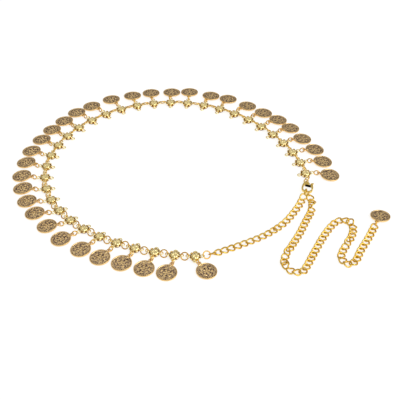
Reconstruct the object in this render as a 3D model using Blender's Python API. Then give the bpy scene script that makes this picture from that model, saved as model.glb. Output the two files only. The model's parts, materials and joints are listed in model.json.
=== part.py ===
"""Waist chain of flower links and coin charms, lying flat as a closed ring with a loose tail.

Thirty-four domed flower links, joined by round jump rings, carry one coin each. A curb chain
closes the ring at a lobster clasp and runs on as a tail, which ends in one more coin.
Every flower has three loops: two along the chain and one on its outer side for its coin.
Lengths below are in millimetres and are turned into metres as the meshes are made.
The origin lies on the resting plane under the middle of the whole piece, with +Z up.
"""

import math

import bmesh
import bpy
import numpy as np
from mathutils import Matrix, Vector

MM = 0.001
MIDDLE = (0.75, 0.789)

# The ring of flower links: a slightly egg-shaped round, given as a radius for each direction
FLOWERS = 34
FLOWER_PITCH = 17.3
RING_CENTRE = (-17.2, -1.8)
RING_RADIUS = 118.4
RING_OVAL = (6.8, -35.7)
RING_EGG = (2.7, 78.9)
FIRST_FLOWER_DEG = -0.7

# One flower link: notched petals round a raised boss, and loops ahead, behind and outside, as quarter turns
PETALS = 8
FLOWER_FOOT = 3.8
PETAL_TIP = 4.7
PETAL_NOTCH = 4.0
PETAL_HEIGHT = 3.2
FLOWER_HEIGHT = 4.6
LOOP_REACH = 6.0
LOOP_RADIUS = 1.6
LOOP_WIRE = 0.45
LOOP_QUARTERS = (-1, 0, 2)

# Jump rings between the flowers lean their tops in over the waist opening
LINK_RING_RADIUS = 3.2
RING_WIRE = 0.45
LINK_RING_LEAN = 48.0
HELD_SHIFT = 0.3
BOTH_HELD_SHIFT = 0.7
RING_SEAT = 0.85

# Jump rings that carry the coins stand upright, and each coin's bail rides round its ring
COIN_RING_RADIUS = 2.3
COIN_RING_SEAT = 1.8
COIN_RING_TOUCH = 1.2
COIN_RADIUS = 8.85
COIN_THICKNESS = 1.3
BAIL_RADIUS = 1.4
BAIL_WIRE = 0.5
BAIL_OFFSET = 1.35

# How far each coin swings from straight out, in degrees, from the clasp round to the curb chain
COIN_SWING = (
    -17, -15, -12, -14, -6, -10, -17, -16, -2, -10, 5, -8,
    -4, -7, 5, 13, 6, -5, -12, -19, -18, -26, -22, -29,
    -33, -38, -37, -25, -19, -17, -18, -15, -15, 38,
)
# How far each coin's ring lies back from where it would be drawn tight, in the same order
COIN_SLACK = (
    0.0, 0.7, 0.0, 1.9, 0.9, 0.8, 2.1, 2.1, 1.1, 2.1, 0.3, 2.1,
    1.6, 1.8, 0.0, 0.0, 0.0, 2.1, 2.1, 2.1, 0.9, 0.9, 0.0, 0.0,
    0.0, 0.0, 1.0, 0.0, 1.1, 0.9, 2.1, 2.1, 1.3, 2.1,
)

# Curb chain: flat twisted links along two hand-laid routes, which meet at the clasp
CURB_LENGTH = 3.12
CURB_WIDTH = 2.6
CURB_TWIST = 1.15
CURB_WIRE = 0.65
CURB_SEAM_STEP = 5.15
CURB_MID_HEIGHT = 1.62
CHAIN_ROUTE = (
    (18.9, -112.0), (40.0, -101.5), (61.0, -89.0), (78.0, -73.0), (90.5, -53.0), (96.9, -38.6),
)
TAIL_ROUTE = (
    (102.9, -39.2), (104.3, -45.0), (102.9, -51.5), (102.3, -58.0), (97.0, -70.0), (90.0, -87.0),
    (82.0, -103.0), (75.0, -118.0), (74.5, -128.0), (80.0, -135.0), (87.5, -135.0), (92.0, -129.0),
    (99.0, -114.0), (109.0, -93.0), (117.5, -78.5), (124.5, -71.0), (131.5, -70.5), (136.0, -77.0),
    (135.5, -86.0), (131.0, -97.0), (124.0, -110.0), (121.8, -119.5), (127.0, -126.0), (133.5, -121.5),
    (139.0, -109.5), (147.5, -94.0), (154.8, -79.0),
)
# Links in each separate stretch; the stretch at the clasp takes from both routes
CHAIN_STRETCHES = (10, 9)
TAIL_STRETCHES = (5, 7, 12, 14, 18)
# Tail links that lie rolled over: the link's number from the clasp, and its roll in degrees
TAIL_ROLLS = {3: 40.0, 15: -45.0, 18: 40.0, 36: 35.0, 41: -40.0}
ROLL_LIFT = 1.6

# Lobster clasp, drawn flat: across it, and along it from the middle of its eye to the claw
CLASP_EYE = (101.45, -15.35)
CLASP_HEADING = (-0.06, -1.0)
CLASP_MID_HEIGHT = 2.98
HOOK_THICKNESS = 1.9
LEVER_THICKNESS = 1.7
EYE_RADIUS = 1.9
EYE_WIRE = 0.45
HOOK_OUTLINE = (
    (-1.3, 1.8), (1.3, 1.8), (2.7, 3.4), (3.2, 5.0), (2.9, 7.4), (-1.9, 5.9), (-2.5, 8.0), (-3.1, 11.0),
    (-3.0, 13.4), (-1.6, 15.4), (0.8, 16.1), (2.9, 15.3), (3.7, 14.1), (5.4, 14.4), (4.5, 16.6), (1.8, 17.9),
    (-1.4, 17.4), (-3.9, 15.4), (-4.8, 12.4), (-4.3, 9.0), (-3.3, 5.6), (-2.2, 3.0),
)
LEVER_OUTLINE = (
    (3.65, 4.6), (5.2, 4.3), (6.5, 3.7), (6.9, 4.6), (5.6, 5.6), (6.1, 8.5), (6.1, 11.5), (5.5, 13.8),
    (4.0, 13.5), (4.6, 11.3), (4.4, 9.3), (3.7, 8.9), (-1.2, 7.5), (-1.2, 6.6), (3.35, 7.95),
)
# The curb link that the clasp holds stands over the claw, and lifts the links beside it
HOOKED_LINK = (100.55, -33.4)
HOOKED_ROLL = 50.0
HOOKED_HEIGHT = 3.05
LIFTED_HEIGHT = 2.3
LIFTED_SLOPE = 0.25

# The ring between the last flower's jump ring and the curb chain leans the other way
JOINING_RING_LEAN = 39.0
JOINING_REACH = 1.8
TAIL_RING_REACH = 4.45

# Steps round each ring; the wire's own section is a triangle, for there are many rings
WIRE_SIDES = 3
RING_STEPS = 6
COIN_RING_STEPS = 6
LOOP_STEPS = 5
CURB_STEPS = 6
COIN_SIDES = 12
WELD = 0.00001
FLAT_ENOUGH = math.radians(0.3)

GOLD = (0.83, 0.62, 0.26)
ANTIQUE = (0.42, 0.32, 0.20)
UP = Vector((0.0, 0.0, 1.0))
RING_HEIGHT = RING_WIRE + LINK_RING_RADIUS * math.sin(math.radians(LINK_RING_LEAN))
COIN_REACH = COIN_RING_RADIUS + BAIL_OFFSET + COIN_RADIUS
COIN_TILT = math.asin((RING_HEIGHT - COIN_THICKNESS / 2) / (COIN_REACH + COIN_RADIUS))


def clear_scene():
    """Removes whatever the scene holds."""
    for thing in list(bpy.data.objects):
        bpy.data.objects.remove(thing, do_unlink=True)


def metal(name, colour, roughness):
    """A plain metal of one colour."""
    finish = bpy.data.materials.new(name)
    finish.use_nodes = True
    shader = finish.node_tree.nodes["Principled BSDF"]
    shader.inputs["Base Color"].default_value = (*colour, 1.0)
    shader.inputs["Metallic"].default_value = 1.0
    shader.inputs["Roughness"].default_value = roughness
    return finish


def lay(place, along, height, roll=0.0):
    """The matrix that puts a mesh at a place, with its X along a direction, rolled about that."""
    x = Vector(along).normalized()
    y = UP.cross(x).normalized()
    turn = Matrix((x, y, x.cross(y))).transposed().to_4x4()
    where = Vector((place[0] - MIDDLE[0], place[1] - MIDDLE[1], height)) * MM
    return Matrix.Translation(where) @ turn @ Matrix.Rotation(math.radians(roll), 4, "X")


def mesh_of(thing):
    """Takes an object's shape as a welded mesh, and removes the object."""
    made = thing.evaluated_get(bpy.context.evaluated_depsgraph_get())
    mesh = bpy.data.meshes.new_from_object(made)
    bpy.data.objects.remove(thing, do_unlink=True)
    bm = bmesh.new()
    bm.from_mesh(mesh)
    bmesh.ops.remove_doubles(bm, verts=bm.verts, dist=WELD)
    bmesh.ops.dissolve_limit(bm, angle_limit=FLAT_ENOUGH, verts=bm.verts, edges=bm.edges)
    bmesh.ops.recalc_face_normals(bm, faces=bm.faces)
    bm.to_mesh(mesh)
    bm.free()
    return mesh


def wire_ring(radius, wire, steps):
    """A level ring of wire. Its radius is midway between the ring's corners and its flats."""
    bpy.ops.mesh.primitive_torus_add(
        major_segments=steps, minor_segments=WIRE_SIDES,
        major_radius=radius / math.sqrt(math.cos(math.pi / steps)) * MM, minor_radius=wire * MM,
    )
    return mesh_of(bpy.context.object)


def curb_link():
    """A curb link: a ring of wire drawn out to an oval, its two flat ends twisted opposite ways."""
    corner = 1.0 / math.cos(math.pi / CURB_STEPS)
    link = wire_ring(CURB_WIDTH, CURB_WIRE, CURB_STEPS)
    link.transform(Matrix.Rotation(math.pi / CURB_STEPS, 4, "Z"))
    middle = CURB_WIDTH * math.sqrt(corner) * MM
    for vert in link.vertices:
        turn = math.atan2(vert.co.y, vert.co.x)
        c, s = math.cos(turn), math.sin(turn)
        out = (vert.co.xy.length - middle) * corner
        vert.co.x = (CURB_LENGTH * corner * MM + out) * c
        vert.co.y = (CURB_WIDTH * corner * MM + out) * s
        vert.co.z += CURB_TWIST * MM * math.sin(2 * turn)
    return link


def plate(outline, thickness):
    """A flat plate cut to an outline, level about z = 0."""
    curve = bpy.data.curves.new("plate", "CURVE")
    curve.dimensions = "2D"
    curve.fill_mode = "BOTH"
    curve.extrude = thickness / 2 * MM
    spline = curve.splines.new("POLY")
    spline.points.add(len(outline) - 1)
    spline.use_cyclic_u = True
    for point, (across, along) in zip(spline.points, outline):
        point.co = (along * MM, across * MM, 0.0, 1.0)
    thing = bpy.data.objects.new("plate", curve)
    bpy.context.scene.collection.objects.link(thing)
    return mesh_of(thing)


def fuse(pieces):
    """Joins overlapping meshes, each given with its place, into one closed mesh."""
    group = bpy.data.collections.new("pieces")
    bpy.context.scene.collection.children.link(group)
    parts = []
    for mesh, place in pieces:
        placed = mesh.copy()
        placed.transform(place)
        parts.append(bpy.data.objects.new("piece", placed))
    bpy.context.scene.collection.objects.link(parts[0])
    for part in parts[1:]:
        group.objects.link(part)
    union = parts[0].modifiers.new("union", "BOOLEAN")
    union.operation = "UNION"
    union.operand_type = "COLLECTION"
    union.collection = group
    union.solver = "EXACT"
    joined = mesh_of(parts[0])
    for part in parts[1:]:
        bpy.data.objects.remove(part, do_unlink=True)
    bpy.data.collections.remove(group)
    return joined


def flower_link():
    """A flower link: petals that rise from a flat foot to a raised boss, with its loops."""
    bm = bmesh.new()

    def level(count, radii, height):
        angles = (2 * math.pi * k / count for k in range(count))
        return [
            bm.verts.new((r * MM * math.cos(a), r * MM * math.sin(a), height * MM))
            for a, r in zip(angles, radii * count)
        ]

    foot = level(PETALS, (FLOWER_FOOT,), 0.0)
    rim = level(2 * PETALS, (PETAL_TIP, PETAL_NOTCH), PETAL_HEIGHT)
    top = bm.verts.new((0.0, 0.0, FLOWER_HEIGHT * MM))
    bm.faces.new(foot)
    for k in range(PETALS):
        n = (k + 1) % PETALS
        for face in (
            (foot[k], rim[2 * k], rim[2 * k + 1]), (foot[k], rim[2 * k + 1], foot[n]),
            (foot[n], rim[2 * k + 1], rim[2 * n]),
            (top, rim[2 * k], rim[2 * k + 1]), (top, rim[2 * k + 1], rim[2 * n]),
        ):
            bm.faces.new(face)
    bmesh.ops.recalc_face_normals(bm, faces=bm.faces)
    petals = bpy.data.meshes.new("petals")
    bm.to_mesh(petals)
    bm.free()
    loop = wire_ring(LOOP_RADIUS, LOOP_WIRE, LOOP_STEPS)
    out = Matrix.Translation(Vector((LOOP_REACH, 0.0, RING_HEIGHT)) * MM)
    return fuse(
        [(petals, Matrix())]
        + [(loop, Matrix.Rotation(quarter * math.pi / 2, 4, "Z") @ out) for quarter in LOOP_QUARTERS]
    )


def coin_charm():
    """A coin with its bail. The mesh's origin is the middle of the ring that the bail rides on."""
    bm = bmesh.new()
    bmesh.ops.create_cone(
        bm, cap_ends=True, segments=COIN_SIDES, radius1=COIN_RADIUS * MM, radius2=COIN_RADIUS * MM,
        depth=COIN_THICKNESS * MM, matrix=Matrix.Rotation(math.pi / COIN_SIDES, 4, "Z"),
    )
    disc = bpy.data.meshes.new("disc")
    bm.to_mesh(disc)
    bm.free()
    bail = wire_ring(BAIL_RADIUS, BAIL_WIRE, LOOP_STEPS)
    return fuse([
        (disc, Matrix.Translation((COIN_REACH * MM, 0.0, 0.0))),
        (bail, Matrix.Translation((COIN_RING_RADIUS * MM, 0.0, 0.0))),
    ])


def ring_outline(degrees):
    """Points of the flower ring's centreline in the given directions from its centre."""
    oval, oval_at = RING_OVAL
    egg, egg_at = RING_EGG
    radius = (
        RING_RADIUS
        + oval * np.cos(2 * np.radians(degrees - oval_at))
        + egg * np.cos(3 * np.radians(degrees - egg_at))
    )
    a = np.radians(degrees)
    return np.column_stack([RING_CENTRE[0] + radius * np.cos(a), RING_CENTRE[1] + radius * np.sin(a)])


def run_along(line):
    """The distance along a line at each of its points."""
    return np.concatenate([[0.0], np.cumsum(np.linalg.norm(np.diff(line, axis=0), axis=1))])


def stations(line, run, distances):
    """Places and directions at the given distances along a line."""
    def at(where):
        return np.column_stack([np.interp(where, run, line[:, axis]) for axis in (0, 1)])

    places, ahead = at(distances), at(distances + 1.0) - at(distances - 1.0)
    return [(Vector((*p, 0.0)), Vector((*d, 0.0)).normalized()) for p, d in zip(places, ahead)]


def flower_stations():
    """Each flower's place and its direction along the chain."""
    degrees = np.linspace(FIRST_FLOWER_DEG - 5.0, FIRST_FLOWER_DEG + 300.0, 6000)
    line = ring_outline(degrees)
    run = run_along(line)
    start = np.interp(FIRST_FLOWER_DEG, degrees, run)
    return stations(line, run, start + FLOWER_PITCH * np.arange(FLOWERS))


def smooth_route(points):
    """A line of closely spaced points on a smooth curve through a route's own points."""
    p = np.array(points, float)
    p = np.vstack([2 * p[0] - p[1], p, 2 * p[-1] - p[-2]])
    t = np.linspace(0.0, 1.0, 40, endpoint=False)[:, None]
    spans = [
        0.5 * (2 * b + (c - a) * t + (2 * a - 5 * b + 4 * c - d) * t**2 + (3 * b - a - 3 * c + d) * t**3)
        for a, b, c, d in zip(p[:-3], p[1:-2], p[2:-1], p[3:])
    ]
    return np.vstack(spans + [p[-2:-1]])


def route_stations(points, stretches):
    """Link places along a route, a little closer together at the seams between its stretches."""
    line = smooth_route(points)
    run = run_along(line)
    gaps = sum(stretches) - 1
    seams = np.cumsum(stretches)[:-1] - 1
    step = (run[-1] - CURB_SEAM_STEP * len(seams)) / (gaps - len(seams))
    steps = np.full(gaps, step)
    steps[seams] = CURB_SEAM_STEP
    return stations(line, run, np.concatenate([[0.0], np.cumsum(steps)]))


def link_places():
    """The place of every curb link, as two lists: from the flowers to the clasp, and the tail."""
    routes = []
    for points, stretches, near_clasp in (
        (CHAIN_ROUTE, CHAIN_STRETCHES, -1), (TAIL_ROUTE, TAIL_STRETCHES, 0),
    ):
        spots = route_stations(points, stretches)
        rolls = TAIL_ROLLS if near_clasp == 0 else {}
        places = []
        for number, (place, along) in enumerate(spots, 1):
            roll = rolls.get(number, 0.0)
            lift = ROLL_LIFT * abs(math.sin(math.radians(roll)))
            places.append(lay(place, along, CURB_MID_HEIGHT + lift, roll))
        place, along = spots[near_clasp]
        toward = along if near_clasp else -along
        slope = LIFTED_SLOPE if near_clasp else -LIFTED_SLOPE
        places[near_clasp] = lay(place, along + UP * slope, LIFTED_HEIGHT)
        routes.append(places)
    return routes


def ring_between(first, second, back, inward):
    """A jump ring's place between two flowers, with its top leaning in over the waist opening."""
    start = first[0] + first[1] * LOOP_REACH
    end = second[0] - second[1] * LOOP_REACH
    along = (end - start).normalized()
    middle = (start + end) / 2 - along * back + UP.cross(along) * inward
    return lay(middle, along, RING_HEIGHT, LINK_RING_LEAN)


def coin_ring_middle(flower, swing, slack):
    """The middle of a flower's coin ring, and the direction that its coin lies in."""
    place, along = flower
    outward = along.cross(UP)
    toward = Matrix.Rotation(math.radians(swing), 3, "Z") @ outward
    back = COIN_RING_SEAT - slack
    aside = math.sqrt(max(0.0, COIN_RING_TOUCH**2 - back**2))
    hole = place + outward * LOOP_REACH
    return hole + toward * (back + COIN_RING_RADIUS) + UP.cross(toward) * aside, toward


def tail_ring_middle(tail):
    """The middle of the ring on the tail's last link, and the direction that its coin lies in."""
    toward = tail[-1].to_3x3() @ Vector((1.0, 0.0, 0.0))
    end = tail[-1].translation / MM + Vector((*MIDDLE, 0.0))
    return end + toward * TAIL_RING_REACH, toward


def coin_place(middle, toward):
    """A coin's place on its ring, tilted down until its far edge rests."""
    return lay(middle, toward, RING_HEIGHT) @ Matrix.Rotation(COIN_TILT, 4, "Y")


def add(group, name, mesh, finish, place=Matrix()):
    """Puts a named piece of the waist chain in its collection."""
    if not mesh.materials:
        mesh.name = name
        mesh.materials.append(finish)
    piece = bpy.data.objects.new(name, mesh)
    piece.matrix_world = place
    group.objects.link(piece)


def add_flowers(group, finish, flowers):
    """Flower links two by two, each pair with its jump rings and its coin rings."""
    flower = flower_link()
    link_ring = wire_ring(LINK_RING_RADIUS, RING_WIRE, RING_STEPS)
    coin_ring = wire_ring(COIN_RING_RADIUS, RING_WIRE, COIN_RING_STEPS)
    last_hole = flowers[-1][0] + flowers[-1][1] * LOOP_REACH
    first_hole = flowers[0][0] - flowers[0][1] * LOOP_REACH
    for k in range(0, FLOWERS, 2):
        pair = flowers[k:k + 2]
        pieces = [(flower, lay(place, along, 0.0)) for place, along in pair]
        pieces.append((link_ring, ring_between(*pair, 0.0, -BOTH_HELD_SHIFT)))
        for spot, swing, slack in zip(pair, COIN_SWING[k:k + 2], COIN_SLACK[k:k + 2]):
            middle, toward = coin_ring_middle(spot, swing, slack)
            pieces.append((coin_ring, lay(middle, toward, RING_HEIGHT, 90.0)))
        if k + 2 < FLOWERS:
            pieces.append((link_ring, ring_between(pair[1], flowers[k + 2], HELD_SHIFT, 0.0)))
        else:
            pieces.append((link_ring, end_ring(last_hole, CHAIN_ROUTE[0])))
        if k == 0:
            pieces.append((link_ring, end_ring(first_hole, CLASP_EYE)))
        add(group, f"flowers_{k // 2 + 1:02d}", fuse(pieces), finish)


def end_ring(hole, toward):
    """The place of the jump ring at either end of the flowers, drawn toward what it holds."""
    along = (Vector((*toward, 0.0)) - hole).normalized()
    return lay(hole + along * (RING_SEAT + LINK_RING_RADIUS), along, RING_HEIGHT, LINK_RING_LEAN)


def joining_ring(flowers):
    """The place of the ring between the last flower's ring and the curb chain."""
    hole = flowers[-1][0] + flowers[-1][1] * LOOP_REACH
    along = (Vector((*CHAIN_ROUTE[0], 0.0)) - hole).normalized()
    reach = RING_SEAT + LINK_RING_RADIUS + JOINING_REACH + LINK_RING_RADIUS
    height = RING_WIRE + LINK_RING_RADIUS * math.sin(math.radians(JOINING_RING_LEAN))
    return lay(hole + along * reach, along, height, -JOINING_RING_LEAN)


def add_curb_chain(group, finish, flowers, chain, tail):
    """The curb chain in stretches: up to the clasp, past it, and the tail with its coin's ring."""
    link = curb_link()
    wide_ring = wire_ring(LINK_RING_RADIUS, RING_WIRE, RING_STEPS)
    coin_ring = wire_ring(COIN_RING_RADIUS, RING_WIRE, COIN_RING_STEPS)
    hooked = lay(HOOKED_LINK, (0.0, 1.0, 0.0), HOOKED_HEIGHT, HOOKED_ROLL)
    first = CHAIN_STRETCHES[0]
    pieces = [(wide_ring, joining_ring(flowers))] + [(link, place) for place in chain[:first]]
    add(group, "chain_from_flowers", fuse(pieces), finish)
    start = TAIL_STRETCHES[0]
    at_clasp = chain[first:] + [hooked] + tail[:start]
    add(group, "chain_at_clasp", fuse([(link, place) for place in at_clasp]), finish)
    middle, toward = tail_ring_middle(tail)
    for k, count in enumerate(TAIL_STRETCHES[1:], 1):
        pieces = [(link, place) for place in tail[start:start + count]]
        if k == len(TAIL_STRETCHES) - 1:
            pieces.append((coin_ring, lay(middle, toward, RING_HEIGHT, 90.0)))
        add(group, f"tail_{k}", fuse(pieces), finish)
        start += count


def add_clasp(group, finish):
    """A lobster clasp: a hook with an eye, and the lever that closes it."""
    place = lay(CLASP_EYE, (*CLASP_HEADING, 0.0), CLASP_MID_HEIGHT)
    hook = fuse([
        (plate(HOOK_OUTLINE, HOOK_THICKNESS), place),
        (wire_ring(EYE_RADIUS, EYE_WIRE, RING_STEPS), place),
    ])
    add(group, "clasp_hook", hook, finish)
    lever = plate(LEVER_OUTLINE, LEVER_THICKNESS)
    lever.transform(place)
    add(group, "clasp_lever", lever, finish)


def main():
    clear_scene()
    group = bpy.data.collections.new("waist_chain")
    bpy.context.scene.collection.children.link(group)
    gold = metal("gold", GOLD, 0.22)
    flowers = flower_stations()
    chain, tail = link_places()
    add_flowers(group, gold, flowers)
    add_curb_chain(group, gold, flowers, chain, tail)
    add_clasp(group, gold)
    coin = coin_charm()
    antique = metal("antique", ANTIQUE, 0.4)
    for number, lie in enumerate(zip(flowers, COIN_SWING, COIN_SLACK), 1):
        add(group, f"coin_{number:02d}", coin, antique, coin_place(*coin_ring_middle(*lie)))
    add(group, "coin_tail", coin, antique, coin_place(*tail_ring_middle(tail)))


if __name__ == "__main__":
    main()
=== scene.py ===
# %% [markdown]
# # A waist chain of flower links and coins
#
# The real object is costume jewellery. Thirty-four cast flowers are joined by round jump rings,
# each flower carries a coin on a ring of its own, and a curb chain with a lobster clasp closes
# the round and runs on as a tail. Everything is metal, so the looks come from two things: small
# rounded shapes that catch the light, and finishes that are bright on the high places and dark
# in the hollows. The frame holds the plain solids, and each one gets a finely made piece here.

# %% Load the frame
import json
import math
from collections import namedtuple

import bmesh
import bpy
import numpy as np
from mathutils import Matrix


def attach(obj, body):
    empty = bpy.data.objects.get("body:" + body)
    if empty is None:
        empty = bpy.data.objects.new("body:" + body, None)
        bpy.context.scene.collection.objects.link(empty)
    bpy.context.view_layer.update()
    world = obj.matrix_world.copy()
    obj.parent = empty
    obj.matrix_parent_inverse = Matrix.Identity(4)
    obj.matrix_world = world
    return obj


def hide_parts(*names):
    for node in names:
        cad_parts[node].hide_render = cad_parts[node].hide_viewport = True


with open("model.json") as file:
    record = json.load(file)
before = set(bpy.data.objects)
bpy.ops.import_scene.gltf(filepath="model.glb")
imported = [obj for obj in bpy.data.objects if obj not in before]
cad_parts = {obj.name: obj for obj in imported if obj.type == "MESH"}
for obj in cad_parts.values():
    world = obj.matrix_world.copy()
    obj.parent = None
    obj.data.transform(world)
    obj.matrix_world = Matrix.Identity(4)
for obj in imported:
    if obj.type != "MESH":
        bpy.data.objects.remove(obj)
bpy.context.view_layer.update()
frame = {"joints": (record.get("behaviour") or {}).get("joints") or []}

# %% [markdown]
# ## Camera
#
# The camera looks down at the laid-out chain at about 39 degrees, from well back, so the far
# side of the round is only a little smaller than the near side. It comes first, so that each
# later step can be judged in the same picture.

# %% Camera
MM = 0.001
CAMERA_PLACE = (3.45, -690.489, 523.4)
CAMERA_DOWN = 38.84
CAMERA_LENS = 83.7

lens = bpy.data.cameras.new("camera")
lens.lens = CAMERA_LENS
lens.clip_start = 0.01
camera = bpy.data.objects.new("camera", lens)
camera.location = [c * MM for c in CAMERA_PLACE]
camera.rotation_euler = (math.radians(90.0 - CAMERA_DOWN), 0.0, 0.0)
bpy.context.scene.collection.objects.link(camera)
bpy.context.scene.camera = camera

# %% [markdown]
# ## Surfaces from arrays
#
# Each shape below is a grid of points worked out all at once. A surface keeps its points, its
# four-sided and three-sided faces, and one number for each point that sets its tone, from 1 bright
# to 0 dark. On the coins it follows the relief: 1 on a high spot that hands and cloth keep bright,
# and 0 in a hollow where the brown wash stays. On the flowers it is painted shade under the rims,
# in the notches and in the groove round the dome, where some dirt adds to it. On the clasp it is
# painted shadow in the slit under the hook's shoulder.

# %% The surface type and its faces
Surface = namedtuple("Surface", "points quads tris raised")
UP = np.array([0.0, 0.0, 1.0])
TURNS = {}


def unit(vectors):
    """Each vector divided by its own length."""
    return vectors / np.linalg.norm(vectors, axis=-1, keepdims=True)


def round_quads(rows, cols, closed=False):
    """The four-sided faces between rows of points, where each row is a closed round."""
    row, col = np.meshgrid(np.arange(rows if closed else rows - 1), np.arange(cols), indexing="ij")
    after, beside = (row + 1) % rows, (col + 1) % cols
    corners = [row * cols + col, row * cols + beside, after * cols + beside, after * cols + col]
    return np.stack(corners, axis=-1).reshape(-1, 4)


def fan(centre, first, cols, flip):
    """Three-sided faces from one centre point to a round of points."""
    here = first + np.arange(cols)
    there = first + (np.arange(cols) + 1) % cols
    pair = (there, here) if flip else (here, there)
    return np.stack([np.full(cols, centre), *pair], axis=-1)


def round_body(radius, height, raised):
    """A closed body from rounds of points: x = r cos t, y = r sin t, z = h, with a point at each end.

    The rows run from the underside outward, up the side and over the top to the middle. TURNS
    holds the angles of the points in a row, under their number.
    """
    rows, cols = radius.shape
    turn = TURNS[cols]
    points = np.stack([radius * np.cos(turn), radius * np.sin(turn), height], axis=-1).reshape(-1, 3)
    ends = np.array([[0.0, 0.0, height[0].mean()], [0.0, 0.0, height[-1].mean()]])
    count = rows * cols
    tris = np.vstack([fan(count, 0, cols, True), fan(count + 1, count - cols, cols, False)])
    out = np.concatenate([raised.reshape(-1), [raised[0].mean(), raised[-1].mean()]])
    return Surface(np.vstack([points, ends]), round_quads(rows, cols), tris, out)


# %% [markdown]
# A wire is a circle carried along a path. At each point of the path the circle stands square to
# the path, with its first direction as near as it can be to the ring's own axis.


# %% Wire along a path
def wire(path, thickness, sides, closed=True):
    """Points at p + w (n cos a + b sin a), where n and b are square to the path at p."""
    if closed:
        ahead = np.roll(path, -1, axis=0) - np.roll(path, 1, axis=0)
    else:
        ahead = np.gradient(path, axis=0)
    t = unit(ahead)
    n = unit(UP - t * t[:, 2:])
    b = np.cross(t, n)
    a = np.linspace(0.0, 2.0 * np.pi, sides, endpoint=False)[:, None]
    rounds = path[:, None] + thickness * (np.cos(a) * n[:, None] + np.sin(a) * b[:, None])
    points, count = rounds.reshape(-1, 3), len(path) * sides
    quads = round_quads(len(path), sides, closed)
    if closed:
        return Surface(points, quads, np.empty((0, 3), int), np.ones(count))
    points = np.vstack([points, path[:1], path[-1:]])
    tris = np.vstack([fan(count, 0, sides, True), fan(count + 1, count - sides, sides, False)])
    return Surface(points, quads, tris, np.ones(count + 2))


def ring(radius, thickness, steps, sides, cut=0.0):
    """A level ring of wire, x = R cos t and y = R sin t. A jump ring has a hairline cut in degrees."""
    if cut:
        t = np.radians(np.linspace(cut / 2, 360.0 - cut / 2, steps))
    else:
        t = np.linspace(0.0, 2.0 * np.pi, steps, endpoint=False)
    path = np.stack([radius * np.cos(t), radius * np.sin(t), 0.0 * t], axis=-1)
    return wire(path, thickness, sides, closed=not cut)


# %% Places, and copies of a shape at many places
def stand(places, along, roll=0.0):
    """Matrices with X along a direction, Y level and Z up, turned about X by a roll in degrees."""
    places, along = np.atleast_2d(places), np.atleast_2d(along)
    x = unit(along)
    y = unit(np.cross(UP, x))
    z = np.cross(x, y)
    turn = np.radians(np.broadcast_to(roll, len(places)))[:, None]
    c, s = np.cos(turn), np.sin(turn)
    frames = np.tile(np.eye(4), (len(places), 1, 1))
    frames[:, :3, :3] = np.stack([x, c * y + s * z, c * z - s * y], axis=-1)
    frames[:, :3, 3] = places
    return frames


def copies(shape, frames):
    """One surface repeated: each copy's points are the shape's own points times its matrix."""
    moved = np.einsum("nij,mj->nmi", frames[:, :3, :3], shape.points) + frames[:, None, :3, 3]
    step = (np.arange(len(frames)) * len(shape.points))[:, None, None]
    quads, tris = (shape.quads + step).reshape(-1, 4), (shape.tris + step).reshape(-1, 3)
    return Surface(moved.reshape(-1, 3), quads, tris, np.tile(shape.raised, len(frames)))


def together(surfaces):
    """Several surfaces as one, with the face numbers of each moved past the points before it."""
    starts = np.cumsum([0] + [len(s.points) for s in surfaces[:-1]])
    return Surface(
        np.vstack([s.points for s in surfaces]),
        np.vstack([s.quads + k for s, k in zip(surfaces, starts)]),
        np.vstack([s.tris + k for s, k in zip(surfaces, starts)]),
        np.concatenate([s.raised for s in surfaces]),
    )


# %% From a surface to a piece
made = []


def piece(name, surface, finish, body, nodes):
    """Makes the mesh in metres, gives it its finish, and ties it to its body and its plain solids."""
    mesh = bpy.data.meshes.new(name)
    mesh.from_pydata((surface.points * MM).tolist(), [], surface.quads.tolist() + surface.tris.tolist())
    relief_and_shade_data = mesh.attributes.new("raised", "FLOAT", "POINT")
    relief_and_shade_data.data.foreach_set("value", surface.raised.astype(np.float32))
    mesh.shade_smooth()
    mesh.materials.append(finish)
    thing = bpy.data.objects.new(name, mesh)
    bpy.context.scene.collection.objects.link(thing)
    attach(thing, body)
    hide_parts(*nodes)
    made.append(thing)
    return thing


# %% [markdown]
# ## Finishes
#
# Plated metal has hardly any colour of its own apart from what it reflects. What makes it look
# real is the small change from place to place: a warmer tone in the hollows, a slightly duller
# patch where it has been handled, and a surface that is never perfectly flat. Each finish is a
# metallic shader whose colour follows noise and the tone attribute, and whose roughness follows
# noise. On the coins that attribute is the relief, and on the flowers and the clasp it carries
# painted shade. The scales of the noise are in bumps to the metre.


# %% Helpers for finishes
def new_finish(name):
    """A material with an empty metallic shader, and its node tree."""
    finish = bpy.data.materials.new(name)
    finish.use_nodes = True
    tree = finish.node_tree
    shader = tree.nodes["Principled BSDF"]
    shader.inputs["Metallic"].default_value = 1.0
    return finish, tree, shader


def noise(tree, scale, detail=3.0):
    """Noise on the object's own coordinates. The scale is in bumps to the metre."""
    where = tree.nodes.new("ShaderNodeTexCoord")
    made_noise = tree.nodes.new("ShaderNodeTexNoise")
    made_noise.inputs["Scale"].default_value = scale
    made_noise.inputs["Detail"].default_value = detail
    tree.links.new(where.outputs["Object"], made_noise.inputs["Vector"])
    return made_noise.outputs["Fac"]


def ramp(tree, value, stops):
    """A colour for each value, from stops given as (value, colour)."""
    node = tree.nodes.new("ShaderNodeValToRGB")
    tree.links.new(value, node.inputs["Fac"])
    marks = node.color_ramp.elements
    while len(marks) < len(stops):
        marks.new(0.5)
    for mark, (at, colour) in zip(marks, stops):
        mark.position = at
        mark.color = (*colour, 1.0)
    return node.outputs["Color"]


def between(tree, value, low, high):
    """A number that runs from low to high as the value runs from 0 to 1."""
    node = tree.nodes.new("ShaderNodeMapRange")
    node.inputs["To Min"].default_value = low
    node.inputs["To Max"].default_value = high
    tree.links.new(value, node.inputs["Value"])
    return node.outputs["Result"]


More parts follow.
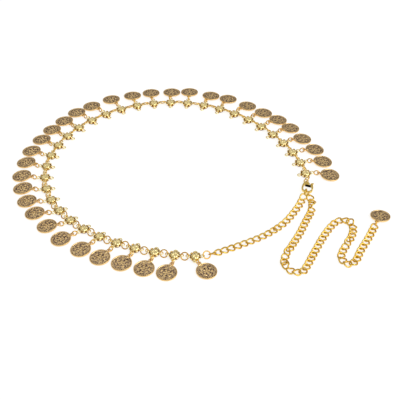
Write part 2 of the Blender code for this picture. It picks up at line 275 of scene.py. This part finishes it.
def sum_of(tree, first, second, weight):
    """The first value plus the second times a weight."""
    node = tree.nodes.new("ShaderNodeMath")
    node.operation = "MULTIPLY_ADD"
    tree.links.new(second, node.inputs[0])
    node.inputs[1].default_value = weight
    tree.links.new(first, node.inputs[2])
    return node.outputs["Value"]


def relief_and_shade_value(tree):
    """The attribute that sets each place's tone: the relief on the coins, and painted shade on the flowers
    and the clasp.
    """
    node = tree.nodes.new("ShaderNodeAttribute")
    node.attribute_name = "raised"
    return node.outputs["Fac"]


def add_bump(tree, shader, height, strength, distance):
    """Small unevenness in the surface's shading."""
    node = tree.nodes.new("ShaderNodeBump")
    node.inputs["Strength"].default_value = strength
    node.inputs["Distance"].default_value = distance
    tree.links.new(height, node.inputs["Height"])
    tree.links.new(node.outputs["Normal"], shader.inputs["Normal"])


# %% The three finishes
BUMP_HEIGHT = 0.0002
# Painted shadow: near black where a wire finish's tone attribute is 0, which is only the slit under the clasp
# hook's shoulder
PAINTED_SHADOW_BLACK = (0.012, 0.008, 0.004)


def cast_gold():
    """Warm plating on the cast flowers, with painted shade: dark under the rims and in the notches, and
    nearly black in the groove round the dome, where some dirt adds to it.
    """
    finish, tree, shader = new_finish("cast_gold")
    tone = sum_of(tree, relief_and_shade_value(tree), noise(tree, 900.0), 0.25)
    colour = ramp(tree, tone, [
        (0.0, (0.015, 0.008, 0.003)), (0.45, (0.34, 0.13, 0.012)),
        (0.75, (0.84, 0.60, 0.15)), (1.0, (0.98, 0.83, 0.43)),
    ])
    tree.links.new(colour, shader.inputs["Base Color"])
    tree.links.new(between(tree, noise(tree, 500.0), 0.14, 0.34), shader.inputs["Roughness"])
    add_bump(tree, shader, noise(tree, 1600.0), 0.25, BUMP_HEIGHT)
    return finish


def wire_gold(name, deep, light):
    """Polished plating between a deeper and a lighter gold, with painted shadow, nearly black, where the tone
    attribute is 0.
    """
    finish, tree, shader = new_finish(name)
    tone = sum_of(tree, between(tree, noise(tree, 260.0), 0.0, 0.4), relief_and_shade_value(tree), 0.6)
    colour = ramp(tree, tone, [(0.3, PAINTED_SHADOW_BLACK), (0.72, deep), (0.88, light)])
    tree.links.new(colour, shader.inputs["Base Color"])
    tree.links.new(between(tree, noise(tree, 700.0), 0.20, 0.42), shader.inputs["Roughness"])
    add_bump(tree, shader, noise(tree, 1100.0, 2.0), 0.12, BUMP_HEIGHT)
    return finish


def antique():
    """Antiqued plating: pale gold on what stands out, and a brown wash left in every hollow."""
    finish, tree, shader = new_finish("antique_gold")
    tone = sum_of(tree, relief_and_shade_value(tree), noise(tree, 600.0, 5.0), 0.9)
    colour = ramp(tree, tone, [
        (0.38, (0.055, 0.035, 0.028)), (0.57, (0.38, 0.25, 0.175)),
        (0.74, (0.98, 0.75, 0.37)), (1.0, (0.88, 0.61, 0.27)),
    ])
    tree.links.new(colour, shader.inputs["Base Color"])
    tree.links.new(between(tree, tone, 0.62, 0.26), shader.inputs["Roughness"])
    add_bump(tree, shader, noise(tree, 2200.0, 6.0), 0.5, BUMP_HEIGHT)
    return finish


FLOWER_GOLD = cast_gold()
RING_GOLD = wire_gold("ring_gold", (0.56, 0.28, 0.03), (0.84, 0.54, 0.11))
CURB_GOLD = wire_gold("curb_gold", (0.66, 0.38, 0.015), (0.86, 0.62, 0.17))
CLASP_GOLD = wire_gold("clasp_gold", (0.82, 0.55, 0.12), (0.93, 0.72, 0.26))
ANTIQUE_GOLD = antique()
print("finishes:", len(bpy.data.materials))

# %% [markdown]
# ## Where the flowers lie
#
# The flowers follow a round that is a little egg-shaped, because the chain was laid down by
# hand. Its radius changes with direction by two slow waves: one makes it oval, the other pulls
# one side out. The flowers stand at equal distances along that line. These are the frame's own
# sizes, in millimetres.

# %% The line of the flowers
MIDDLE = np.array([0.75, 0.789])
FLOWERS = 34
FLOWER_PITCH = 17.3
RING_CENTRE = (-17.2, -1.8)
RING_RADIUS = 118.4
RING_OVAL = (6.8, -35.7)
RING_EGG = (2.7, 78.9)
FIRST_FLOWER_DEG = -0.7
LINE_BEFORE, LINE_AFTER, LINE_STEPS = 5.0, 300.0, 6000
LOOP_REACH = 6.0
LINK_RING_RADIUS = 3.2
RING_WIRE = 0.45
LINK_RING_LEAN = 48.0
RING_HEIGHT = RING_WIRE + LINK_RING_RADIUS * math.sin(math.radians(LINK_RING_LEAN))


def run_along(line):
    """The distance along a line at each of its points."""
    return np.concatenate([[0.0], np.cumsum(np.linalg.norm(np.diff(line, axis=0), axis=1))])


def stations(line, distances):
    """Places and directions at the given distances along a line, as level vectors."""
    run = run_along(line)

    def at(where):
        return np.stack([np.interp(where, run, line[:, axis]) for axis in (0, 1)] + [0.0 * where], axis=-1)

    return at(distances) - [*MIDDLE, 0.0], unit(at(distances + 1.0) - at(distances - 1.0))


def flower_line():
    """The round: r = R + a cos 2(t - t1) + b cos 3(t - t2), from just before the first flower."""
    degrees = np.linspace(FIRST_FLOWER_DEG - LINE_BEFORE, FIRST_FLOWER_DEG + LINE_AFTER, LINE_STEPS)
    radius = (
        RING_RADIUS
        + RING_OVAL[0] * np.cos(2 * np.radians(degrees - RING_OVAL[1]))
        + RING_EGG[0] * np.cos(3 * np.radians(degrees - RING_EGG[1]))
    )
    t = np.radians(degrees)
    line = np.stack([RING_CENTRE[0] + radius * np.cos(t), RING_CENTRE[1] + radius * np.sin(t)], axis=-1)
    return line, np.interp(FIRST_FLOWER_DEG, degrees, run_along(line))


line, start = flower_line()
flower_at, flower_along = stations(line, start + FLOWER_PITCH * np.arange(FLOWERS))
print("flowers:", len(flower_at), "first at", flower_at[0].round(1), "last at", flower_at[-1].round(1))

# %% [markdown]
# ## A flower link
#
# Each flower is one casting: a shallow cup of eight petals with a smooth dome in the middle. It
# could be petals and a ball put together, but one surface keeps the hollows between them crisp.
# The body is a turned profile, pushed in at eight notches. The points crowd towards the notches,
# where the shape changes fastest.

# %% The flower's body
PETALS = 8
FLOWER_STEPS = 64
CROWDING = 0.085
# The rows of the profile, each as radius, height, depth of the notch there, and brightness. The
# brightness is painted light: full on the petal tops and the dome, and painted shade low on the
# side and in the groove round the dome, where some dirt adds to it.
FLOWER_PROFILE = np.array([
    (3.55, 0.00, 0.10, 0.1), (3.90, 0.12, 0.30, 0.2), (4.40, 0.90, 0.70, 0.4), (4.90, 1.80, 1.10, 0.6),
    (5.30, 2.60, 1.30, 0.9), (5.35, 2.95, 1.35, 1.0), (5.22, 3.22, 1.30, 1.0), (4.90, 3.32, 1.10, 1.0),
    (4.56, 3.22, 0.80, 0.8), (4.28, 2.98, 0.45, 0.3), (4.10, 2.72, 0.20, 0.0), (3.92, 2.66, 0.00, 0.0),
    (3.80, 2.86, 0.00, 0.4), (3.68, 3.20, 0.00, 0.8), (3.44, 3.58, 0.00, 1.0), (3.00, 3.92, 0.00, 1.0),
    (2.40, 4.20, 0.00, 1.0), (1.60, 4.42, 0.00, 1.0), (0.80, 4.54, 0.00, 1.0),
])
NOTCH_DIP = 0.35
LIP_NOTCH = 0.7
HOLLOW_SHADE = 0.95
# The dome's flutes: their depth, where they begin and how fast, and where they fade to the middle
FLUTE = 0.22
FLUTE_EDGE = 3.9
FLUTE_RISE = 0.6
FLUTE_END = 1.5
DOME_FOOT = 3.0

spread = np.linspace(0.0, 2.0 * np.pi, FLOWER_STEPS, endpoint=False)
TURNS[FLOWER_STEPS] = spread + CROWDING * np.sin(PETALS * spread)


def flower_body():
    """A profile turned about Z. A notch is deepest where cos 8t is -1, and the dome has faint flutes."""
    radius, height, depth, bright = (column[:, None] for column in FLOWER_PROFILE.T)
    wave = np.cos(PETALS * TURNS[FLOWER_STEPS])
    notch = ((1.0 - wave) / 2.0) ** 3
    begun, ended = (FLUTE_EDGE - radius) / FLUTE_RISE, radius / FLUTE_END
    dome = np.clip(begun, 0.0, 1.0) * np.clip(ended, 0.0, 1.0) * (height > DOME_FOOT)
    high = height - FLUTE * dome * (1.0 - wave) - NOTCH_DIP * notch * (depth > LIP_NOTCH)
    # Painted shade: darker in the notches between the petals and in the dips between the dome's flutes
    shade = ((1.0 - wave) / 2.0) ** 2
    bright = bright * (1.0 - HOLLOW_SHADE * shade * np.clip(depth, 0.0, 1.0)) - NOTCH_DIP * dome * notch
    return round_body(radius - depth * notch, high, np.clip(bright, 0.0, 1.0))


# %% Its four loops
LOOP_RADIUS = 1.6
LOOP_WIRE = 0.52
INNER_LOOP_DROP = 1.7
LOOP_STEPS = 14
WIRE_SIDES = 8


def flower_link():
    """The body with a level loop ahead, behind and outside, and an empty one lower on the inside."""
    loop = ring(LOOP_RADIUS, LOOP_WIRE, LOOP_STEPS, WIRE_SIDES)
    quarter = np.radians([0.0, 90.0, 180.0, 270.0])
    out = np.stack([np.cos(quarter), np.sin(quarter), 0.0 * quarter], axis=-1)
    middles = LOOP_REACH * out + RING_HEIGHT * UP
    middles[1, 2] -= INNER_LOOP_DROP
    return together([flower_body(), copies(loop, stand(middles, out))])


flower = flower_link()
print("flower link:", len(flower.points), "points")

# %% [markdown]
# ## The jump rings
#
# A jump ring is a turn of round wire with a hairline cut where it was opened and closed. Between
# the flowers the rings lean inward, since a free ring tips over as far as its neighbours let it.
# The rings that hold the coins stand upright. Every other link ring hangs on both its loops, so
# it sits a little further out.

# %% Places of the link rings
HELD_SHIFT = 0.3
BOTH_HELD_SHIFT = 0.7
RING_SEAT = 0.85
JUMP_RING_STEPS = 29
FINE_WIRE = 0.52
JUMP_RING_CUT = 2.0

fore, aft = flower_at + flower_along * LOOP_REACH, flower_at - flower_along * LOOP_REACH
span = unit(aft[1:] - fore[:-1])
gap_middle = (fore[:-1] + aft[1:]) / 2 + RING_HEIGHT * UP
gap_middle[0::2] -= BOTH_HELD_SHIFT * np.cross(UP, span[0::2])
gap_middle[1::2] -= HELD_SHIFT * span[1::2]
link_rings = stand(gap_middle, span, LINK_RING_LEAN)


def end_ring(hole, target):
    """The ring at either end of the flowers, drawn towards what it holds."""
    along = unit(np.array([*target, 0.0]) - [*MIDDLE, 0.0] - hole)
    return stand(hole + along * (RING_SEAT + LINK_RING_RADIUS) + RING_HEIGHT * UP, along, LINK_RING_LEAN)


# %% Places of the coins, read from the frame's joints
def joint_place(joint):
    """The joint's place in millimetres, and the level direction in which its coin lies."""
    x, y, _ = joint["axis"]
    return np.array(joint["pos_m"]) / MM, np.array([-y, x, 0.0])


coin_joint = {joint["child"]: joint_place(joint) for joint in frame["joints"]}
COIN_RING_RADIUS = 2.35
jump_ring = ring(LINK_RING_RADIUS, FINE_WIRE, JUMP_RING_STEPS, WIRE_SIDES, JUMP_RING_CUT)
coin_ring = ring(COIN_RING_RADIUS, FINE_WIRE, JUMP_RING_STEPS, WIRE_SIDES, JUMP_RING_CUT)

# %% [markdown]
# ## The two routes of the curb chain
#
# The chain lies as it was dropped, so its two routes are short lists of given places: one from
# the last flower round to the clasp, and one for the tail. A smooth curve runs through each list,
# and the links stand along it at even steps.

# %% Routes and link places
CHAIN_ROUTE = (
    (18.9, -112.0), (40.0, -101.5), (61.0, -89.0), (78.0, -73.0), (90.5, -53.0), (96.9, -38.6),
)
TAIL_ROUTE = (
    (102.9, -39.2), (104.3, -45.0), (102.9, -51.5), (102.3, -58.0), (97.0, -70.0), (90.0, -87.0),
    (82.0, -103.0), (75.0, -118.0), (74.5, -128.0), (80.0, -135.0), (87.5, -135.0), (92.0, -129.0),
    (99.0, -114.0), (109.0, -93.0), (117.5, -78.5), (124.5, -71.0), (131.5, -70.5), (136.0, -77.0),
    (135.5, -86.0), (131.0, -97.0), (124.0, -110.0), (121.8, -119.5), (127.0, -126.0), (133.5, -121.5),
    (139.0, -109.5), (147.5, -94.0), (154.8, -79.0),
)
CHAIN_STRETCHES = (10, 9)
TAIL_STRETCHES = (5, 7, 12, 14, 18)
SEAM_STEP = 5.15
LINK_HEIGHT = 1.66
LIFTED_HEIGHT = 2.3
LIFTED_SLOPE = 0.25
TAIL_ROLLS = {3: 40.0, 15: -45.0, 18: 40.0, 36: 35.0, 41: -40.0}
ROLL_LIFT = 2.3
SPAN_STEPS = 40


def smooth_route(route):
    """A curve through the route's points: each span is a cubic with the slopes of its neighbours."""
    p = np.array(route)
    p = np.vstack([2 * p[0] - p[1], p, 2 * p[-1] - p[-2]])
    t = np.linspace(0.0, 1.0, SPAN_STEPS, endpoint=False)[None, :, None]
    a, b, c, d = p[:-3, None], p[1:-2, None], p[2:-1, None], p[3:, None]
    spans = 0.5 * (2 * b + (c - a) * t + (2 * a - 5 * b + 4 * c - d) * t**2 + (3 * b - a - 3 * c + d) * t**3)
    return np.vstack([spans.reshape(-1, 2), p[-2]])


def link_places(route, stretches, lifted, rolls=()):
    """Matrices for the links along a route. The one beside the clasp is lifted and slopes up to it."""
    line = smooth_route(route)
    gaps = sum(stretches) - 1
    seams = np.cumsum(stretches)[:-1] - 1
    steps = np.full(gaps, (run_along(line)[-1] - SEAM_STEP * len(seams)) / (gaps - len(seams)))
    steps[seams] = SEAM_STEP
    places, along = stations(line, np.concatenate([[0.0], np.cumsum(steps)]))
    roll = np.zeros(len(places))
    for number, degrees in dict(rolls).items():
        roll[number - 1] = degrees
    places[:, 2] = LINK_HEIGHT + ROLL_LIFT * np.abs(np.sin(np.radians(roll)))
    places[lifted, 2] = LIFTED_HEIGHT
    along[lifted, 2] = LIFTED_SLOPE if lifted else -LIFTED_SLOPE
    return stand(places, along, roll)


chain_links = link_places(CHAIN_ROUTE, CHAIN_STRETCHES, -1)
tail_links = link_places(TAIL_ROUTE, TAIL_STRETCHES, 0, TAIL_ROLLS)
print("curb links:", len(chain_links), "to the clasp and", len(tail_links), "in the tail")

# %% Flower links and their rings, two by two
CLASP_EYE = (101.45, -15.35)

for pair in range(FLOWERS // 2):
    number = f"{pair + 1:02d}"
    two = slice(2 * pair, 2 * pair + 2)
    body, node = "chain", f"flowers_{number}"
    links = copies(flower, stand(flower_at[two], flower_along[two]))
    piece(f"flower_links_{number}", links, FLOWER_GOLD, body, [node])
    upright = [coin_joint[f"coin_{k:02d}"] for k in (2 * pair + 1, 2 * pair + 2)]
    stands = [stand(middle, toward, 90.0) for middle, toward in upright]
    held = [link_rings[two]]
    if pair == 0:
        held.append(end_ring(aft[0], CLASP_EYE))
    if pair == FLOWERS // 2 - 1:
        held.append(end_ring(fore[-1], CHAIN_ROUTE[0]))
    rings = together([copies(jump_ring, np.vstack(held)), copies(coin_ring, np.vstack(stands))])
    piece(f"jump_rings_{number}", rings, RING_GOLD, body, [node])

# %% [markdown]
# ## A coin charm
#
# The charms are thin struck discs with a raised rim, a ring of dots and an ornament in the
# middle, here a rosette in a wreath of curled leaves. They hang by a small cast eye, whose
# tongue runs on over the rim. The relief is real height in the mesh, a sum of simple waves of
# the distance and the angle from the middle, and the same height tells the finish where the
# brown wash stays.

# %% The coin's relief
COIN_RADIUS = 8.85
COIN_THICKNESS = 1.3
COIN_REACH = 12.5
COIN_STEPS = 120
DOTS = 30
LEAVES = 7
ROSETTE_PETALS = 5
RIM_AT, DOTS_AT, CIRCLE_AT, LEAVES_AT, ROSETTE_AT = 8.15, 7.25, 6.4, 4.6, 2.1
TURNS[COIN_STEPS] = np.linspace(0.0, 2.0 * np.pi, COIN_STEPS, endpoint=False)


def hill(x, middle, width):
    """A smooth rise: exp(-((x - middle) / width)^2)."""
    return np.exp(-(((x - middle) / width) ** 2))


def ornament(r, t):
    """Height from 0 to 1: rim, dots, a thin circle, curled leaves, and a rosette with a bead."""
    rim = 1.0 / (1.0 + np.exp(-(r - RIM_AT) / 0.08))
    dots = hill(r, DOTS_AT, 0.34) * ((1.0 + np.cos(DOTS * t)) / 2.0) ** 2.2
    circle = 0.35 * hill(r, CIRCLE_AT, 0.16)
    curl = 1.3 * np.sin(2.4 * r)
    leaves = hill(r, LEAVES_AT, 0.95) * ((1.0 + np.cos(LEAVES * t + curl)) / 2.0) ** 1.5
    veins = 0.35 * hill(r, LEAVES_AT, 0.9) * np.cos(2 * LEAVES * t) * np.cos(5.0 * r)
    petals = hill(r, ROSETTE_AT, 0.75) * ((1.0 + np.cos(ROSETTE_PETALS * t)) / 2.0) ** 0.9
    bead = hill(r, 0.0, 0.75)
    forms = np.broadcast_arrays(rim, dots, circle, leaves + veins, petals, bead)
    return np.clip(np.maximum.reduce(forms), 0.0, 1.0)


# %% The coin's body
RELIEF = 0.42
EYE_RADIUS = 1.45
EYE_WIRE = 0.56
EYE_STEPS = 20
EYE_OVERLAP = 0.05
# The tongue of the eye on the coin's face: its place, length, width and height
TONGUE = (-7.75, 1.35, 0.62, 0.5)
# The rows of points, by their distance from the coin's middle, and the heights of the edge's rows
BACK_ROWS = np.array([0.5, 1.2, 2.0, 2.8, 3.6, 4.4, 5.2, 6.2, 7.0, 7.6, 8.15, 8.5])[:, None]
EDGE_ROWS = np.array([8.78, 8.85, 8.85, 8.78])[:, None]
EDGE_HEIGHTS = np.array([-0.6, -0.45, 0.45, 0.6])[:, None]
FACE_ROWS = np.concatenate([[8.58, 8.42, 8.28, 8.15, 8.02, 7.85], np.linspace(7.6, 0.3, 27)])[:, None]


def coin_body():
    """Rows from the middle of the back out to the edge, and over the face to its middle."""
    t = TURNS[COIN_STEPS]
    half = COIN_THICKNESS / 2
    low = ornament(BACK_ROWS, -t)
    high = ornament(FACE_ROWS, t)
    x, y = FACE_ROWS * np.cos(t), FACE_ROWS * np.sin(t)
    tongue = hill(x, TONGUE[0], TONGUE[1]) * hill(y, 0.0, TONGUE[2])
    radius = np.vstack([rows + 0 * t for rows in (BACK_ROWS, EDGE_ROWS, FACE_ROWS)])
    height = np.vstack([
        -half + RELIEF * (1.0 - low), EDGE_HEIGHTS + 0 * t, half - RELIEF * (1.0 - high) + TONGUE[3] * tongue,
    ])
    raised = np.vstack([low, 1.0 + 0 * EDGE_HEIGHTS * t, np.clip(high + tongue, 0.0, 1.0)])
    return round_body(radius, height, raised)


def coin_charm():
    """The disc and its eye, with the middle of the ring that carries it as the origin."""
    disc = coin_body()
    eye = ring(EYE_RADIUS, EYE_WIRE, EYE_STEPS, WIRE_SIDES)
    place = [[COIN_REACH, 0.0, 0.0], [COIN_RING_RADIUS - EYE_OVERLAP, 0.0, 0.0]]
    frames = stand(place, [[1.0, 0.0, 0.0]] * 2)
    return together([copies(disc, frames[:1]), copies(eye, frames[1:])])


# %% Every coin in its place
RIM_DROP = math.asin((RING_HEIGHT - COIN_THICKNESS / 2) / (COIN_REACH + COIN_RADIUS))
coin = coin_charm()

for body, (middle, toward) in coin_joint.items():
    down = toward * math.cos(RIM_DROP) - UP * math.sin(RIM_DROP)
    charm = copies(coin, stand(middle, down))
    piece(body.replace("coin", "coin_charm"), charm, ANTIQUE_GOLD, body, [body])
print("coin charm:", len(coin.points), "points")

# %% [markdown]
# ## The curb chain
#
# A curb link is an oval of round wire with a twist, so that each link lies half on its
# neighbour and the chain stays flat. The twist is a wave with two high and two low places in
# the round.

# %% A curb link
LINK_LENGTH = 3.5
LINK_WIDTH = 3.0
LINK_TWIST = 0.9
LINK_WIRE = 0.74
LINK_STEPS = 28


def curb_link():
    """Wire along x = a cos t, y = b sin t, z = c sin 2t."""
    t = np.linspace(0.0, 2.0 * np.pi, LINK_STEPS, endpoint=False)
    path = np.stack([LINK_LENGTH * np.cos(t), LINK_WIDTH * np.sin(t), LINK_TWIST * np.sin(2 * t)], axis=-1)
    return wire(path, LINK_WIRE, WIRE_SIDES)


# %% The chain, stretch by stretch
HOOKED_LINK = (100.55, -33.4)
HOOKED_ROLL = 50.0
HOOKED_HEIGHT = 3.2
JOINING_RING_LEAN = 39.0
JOINING_REACH = 1.8

link = curb_link()
hooked = stand([*(np.array(HOOKED_LINK) - MIDDLE), HOOKED_HEIGHT], [0.0, 1.0, 0.0], HOOKED_ROLL)
first, start = CHAIN_STRETCHES[0], TAIL_STRETCHES[0]
stretches = {
    "chain_from_flowers": chain_links[:first],
    "chain_at_clasp": np.vstack([chain_links[first:], hooked, tail_links[:start]]),
}
for k, count in enumerate(TAIL_STRETCHES[1:], 1):
    stretches[f"tail_{k}"] = tail_links[start:start + count]
    start += count
for node, frames in stretches.items():
    piece(f"curb_{node}", copies(link, frames), CURB_GOLD, "chain", [node])

# %% The joining ring, and the ring of the tail's coin
along = unit(np.array([*CHAIN_ROUTE[0], 0.0]) - [*MIDDLE, 0.0] - fore[-1])
reach = RING_SEAT + LINK_RING_RADIUS + JOINING_REACH + LINK_RING_RADIUS
lift = RING_WIRE + LINK_RING_RADIUS * math.sin(math.radians(JOINING_RING_LEAN))
joining = stand(fore[-1] + along * reach + lift * UP, along, -JOINING_RING_LEAN)
piece("joining_ring", copies(jump_ring, joining), RING_GOLD, "chain", ["chain_from_flowers"])
middle, toward = coin_joint["coin_tail"]
tail_ring = copies(coin_ring, stand(middle, toward, 90.0))
piece("tail_coin_ring", tail_ring, RING_GOLD, "chain", ["tail_4"])

# %% [markdown]
# ## The lobster clasp
#
# The clasp is a flat casting: a hook with an eye, and a lever that closes its mouth. Its shape
# is all in the outline, so a filled flat curve with a rounded edge is the straight way to make
# it. The outline is drawn smooth through the corners of the frame's own outline, and the finished
# body swells a little in the middle. The lever's short arm shows only as a dark slit under the
# hook's shoulder, so its points get painted shadow, near black.

# %% Outlines
CLASP_HEADING = (-0.06, -1.0, 0.0)
CLASP_MID_HEIGHT = 2.98
HOOK_THICKNESS = 1.9
LEVER_THICKNESS = 1.7
CLASP_EYE_RADIUS = 1.9
HOOK_OUTLINE = (
    (-1.3, 1.8), (1.3, 1.8), (2.7, 3.4), (3.2, 5.0), (2.9, 7.4), (-1.9, 5.9), (-2.5, 8.0), (-3.1, 11.0),
    (-3.0, 13.4), (-1.6, 15.4), (0.8, 16.1), (2.9, 15.3), (3.7, 14.1), (5.4, 14.4), (4.5, 16.6), (1.8, 17.9),
    (-1.4, 17.4), (-3.9, 15.4), (-4.8, 12.4), (-4.3, 9.0), (-3.3, 5.6), (-2.2, 3.0),
)
LEVER_OUTLINE = (
    (3.65, 4.6), (5.2, 4.3), (6.5, 3.7), (6.9, 4.6), (5.6, 5.6), (6.1, 8.5), (6.1, 11.5), (5.5, 13.8),
    (4.0, 13.5), (4.6, 11.3), (4.4, 9.3), (3.7, 8.9), (-1.2, 7.5), (-1.2, 6.6), (3.35, 7.95),
)
EDGE = 0.3


def smooth_outline(corners, steps=6):
    """A closed curve that cuts each corner: quadratic arcs between the middles of the sides."""
    p = np.array(corners)[:, ::-1]
    before, after = (np.roll(p, 1, axis=0) + p) / 2, (np.roll(p, -1, axis=0) + p) / 2
    t = np.linspace(0.0, 1.0, steps, endpoint=False)[None, :, None]
    arcs = (1 - t) ** 2 * before[:, None] + 2 * t * (1 - t) * p[:, None] + t**2 * after[:, None]
    return arcs.reshape(-1, 2)


# %% Plates with a rounded edge
WELD = 0.002


def plate(corners, thickness, swell_at, swell_reach, swell_share):
    """A filled outline with quarter-round edges. Thickness grows by a share of 1 - ((x - a) / b)^2."""
    outline = smooth_outline(corners)
    curve = bpy.data.curves.new("outline", "CURVE")
    curve.dimensions = "2D"
    curve.fill_mode = "BOTH"
    curve.extrude = thickness / 2 - EDGE
    curve.bevel_depth = EDGE
    curve.bevel_resolution = 3
    curve.offset = -EDGE
    spline = curve.splines.new("POLY")
    spline.points.add(len(outline) - 1)
    spline.use_cyclic_u = True
    level = np.zeros((len(outline), 1))
    spline.points.foreach_set("co", np.hstack([outline, level, level + 1.0]).ravel())
    flat = bpy.data.objects.new("outline", curve)
    bpy.context.scene.collection.objects.link(flat)
    mesh = bpy.data.meshes.new_from_object(flat.evaluated_get(bpy.context.evaluated_depsgraph_get()))
    bpy.data.objects.remove(flat)
    solid = bmesh.new()
    solid.from_mesh(mesh)
    bmesh.ops.remove_doubles(solid, verts=solid.verts, dist=WELD)
    bmesh.ops.triangulate(solid, faces=solid.faces)
    bmesh.ops.recalc_face_normals(solid, faces=solid.faces)
    solid.to_mesh(mesh)
    solid.free()
    flat_points = np.empty(3 * len(mesh.vertices))
    mesh.vertices.foreach_get("co", flat_points)
    points = flat_points.reshape(-1, 3)
    corner_of = np.empty(len(mesh.loops), int)
    mesh.loops.foreach_get("vertex_index", corner_of)
    bpy.data.meshes.remove(mesh)
    swell = 1.0 - ((points[:, 0] - swell_at) / swell_reach) ** 2
    points[:, 2] *= 1.0 + swell_share * np.clip(swell, 0.0, 1.0)
    return Surface(points, np.empty((0, 4), int), corner_of.reshape(-1, 3), np.ones(len(points)))


# %% Hook, lever and pin
# Where each plate is thickest, how far the swell reaches, and the share that it adds
HOOK_SWELL = (6.0, 10.0, 0.12)
LEVER_SWELL = (8.0, 6.0, 0.08)
# The part of the lever that lies in the shadow of the hook's shoulder
SLIT_ACROSS = 3.9
SLIT_ALONG = 9.5
PIN_PLACE = (5.2, 4.5)
PIN_PROFILE = np.array([(0.62, -1.05), (0.62, 0.95), (0.5, 1.12), (0.25, 1.2)])
PIN_STEPS = 16
TURNS[PIN_STEPS] = np.linspace(0.0, 2.0 * np.pi, PIN_STEPS, endpoint=False)

clasp_place = stand([*(np.array(CLASP_EYE) - MIDDLE), CLASP_MID_HEIGHT], CLASP_HEADING)
hook = together([
    plate(HOOK_OUTLINE, HOOK_THICKNESS, *HOOK_SWELL),
    ring(CLASP_EYE_RADIUS, RING_WIRE, JUMP_RING_STEPS, WIRE_SIDES),
])
piece("lobster_clasp_hook", copies(hook, clasp_place), CLASP_GOLD, "chain", ["clasp_hook"])
pin_r, pin_z = (np.repeat(column[:, None], PIN_STEPS, axis=1) for column in PIN_PROFILE.T)
pin = copies(round_body(pin_r, pin_z, np.ones_like(pin_r)), stand([*PIN_PLACE, 0.0], [1.0, 0.0, 0.0]))
arm = plate(LEVER_OUTLINE, LEVER_THICKNESS, *LEVER_SWELL)
# Painted shadow: the slit under the hook's shoulder gets tone 0, which the finish paints near black
arm.raised[(arm.points[:, 1] < SLIT_ACROSS) & (arm.points[:, 0] < SLIT_ALONG)] = 0.0
lever = together([arm, pin])
piece("lobster_clasp_lever", copies(lever, clasp_place), CLASP_GOLD, "chain", ["clasp_lever"])
print("pieces:", len(made))

# %% [markdown]
# ## Floor and light
#
# The floor is plain and nearly white. Bright metal shows its surroundings, so the light decides
# its look: a wide lamp in front on the right gives the highlights, a weaker one behind on the
# left lightens the flat coins, and the dark side of the room gives the brown reflections that
# make gold read as gold.

# %% Floor
FLOOR_SIZE = 40.0
FLOOR_DROP = 0.0002
FLOOR_GREY = 0.3
FLOOR_GLOW = 0.8


def floor_finish():
    """A matt grey with a glow of its own, so that it comes out white and even."""
    finish = bpy.data.materials.new("white_board")
    finish.use_nodes = True
    shader = finish.node_tree.nodes["Principled BSDF"]
    shader.inputs["Base Color"].default_value = (FLOOR_GREY, FLOOR_GREY, FLOOR_GREY, 1.0)
    shader.inputs["Roughness"].default_value = 0.9
    shader.inputs["Emission Color"].default_value = (1.0, 1.0, 1.0, 1.0)
    shader.inputs["Emission Strength"].default_value = FLOOR_GLOW
    return finish


side = FLOOR_SIZE / 2
corners = [(x * side, y * side, -FLOOR_DROP) for x, y in ((-1, -1), (1, -1), (1, 1), (-1, 1))]
board = bpy.data.meshes.new("floor")
board.from_pydata(corners, [], [(0, 1, 2, 3)])
board.materials.append(floor_finish())
floor = bpy.data.objects.new("floor", board)
bpy.context.scene.collection.objects.link(floor)


# %% Lamps and room
def lamp(name, place, size, power):
    """A square soft lamp that faces the middle of the chain. Places and sizes are in metres."""
    data = bpy.data.lights.new(name, "AREA")
    data.shape = "SQUARE"
    data.size = size
    data.energy = power
    thing = bpy.data.objects.new(name, data)
    thing.location = place
    x, y, z = place
    thing.rotation_euler = (math.atan2(math.hypot(x, y), z), 0.0, math.atan2(x, -y))
    bpy.context.scene.collection.objects.link(thing)


lamp("lamp_left", (-0.5, 0.5, 1.1), 0.8, 1.2)
lamp("lamp_right", (0.8, -0.6, 0.7), 1.0, 7.5)

LIGHT_FROM = (0.5, -0.6, 0.62)
ROOM_STOPS = [
    (0.0, (0.12, 0.11, 0.10)), (0.24, (0.24, 0.23, 0.22)), (0.38, (0.52, 0.50, 0.48)),
    (0.75, (0.54, 0.53, 0.52)), (1.0, (0.8, 0.8, 0.8)),
]


def room_light():
    """Walls whose grey depends on c = (1 + d . l) / 2, for a direction d and the light's own direction l."""
    world = bpy.data.worlds.new("studio")
    world.use_nodes = True
    tree = world.node_tree
    facing = tree.nodes.new("ShaderNodeVectorMath")
    facing.operation = "DOT_PRODUCT"
    facing.inputs[1].default_value = unit(np.array(LIGHT_FROM)).tolist()
    tree.links.new(tree.nodes.new("ShaderNodeTexCoord").outputs["Generated"], facing.inputs[0])
    half_turn = tree.nodes.new("ShaderNodeMapRange")
    half_turn.inputs["From Min"].default_value = -1.0
    tree.links.new(facing.outputs["Value"], half_turn.inputs["Value"])
    grey = ramp(tree, half_turn.outputs["Result"], ROOM_STOPS)
    tree.links.new(grey, tree.nodes["Background"].inputs["Color"])
    return world


bpy.context.scene.world = room_light()
bpy.context.scene.view_settings.view_transform = "Standard"

# %% The number of faces, and the last line
print("faces:", sum(len(thing.data.polygons) for thing in made))
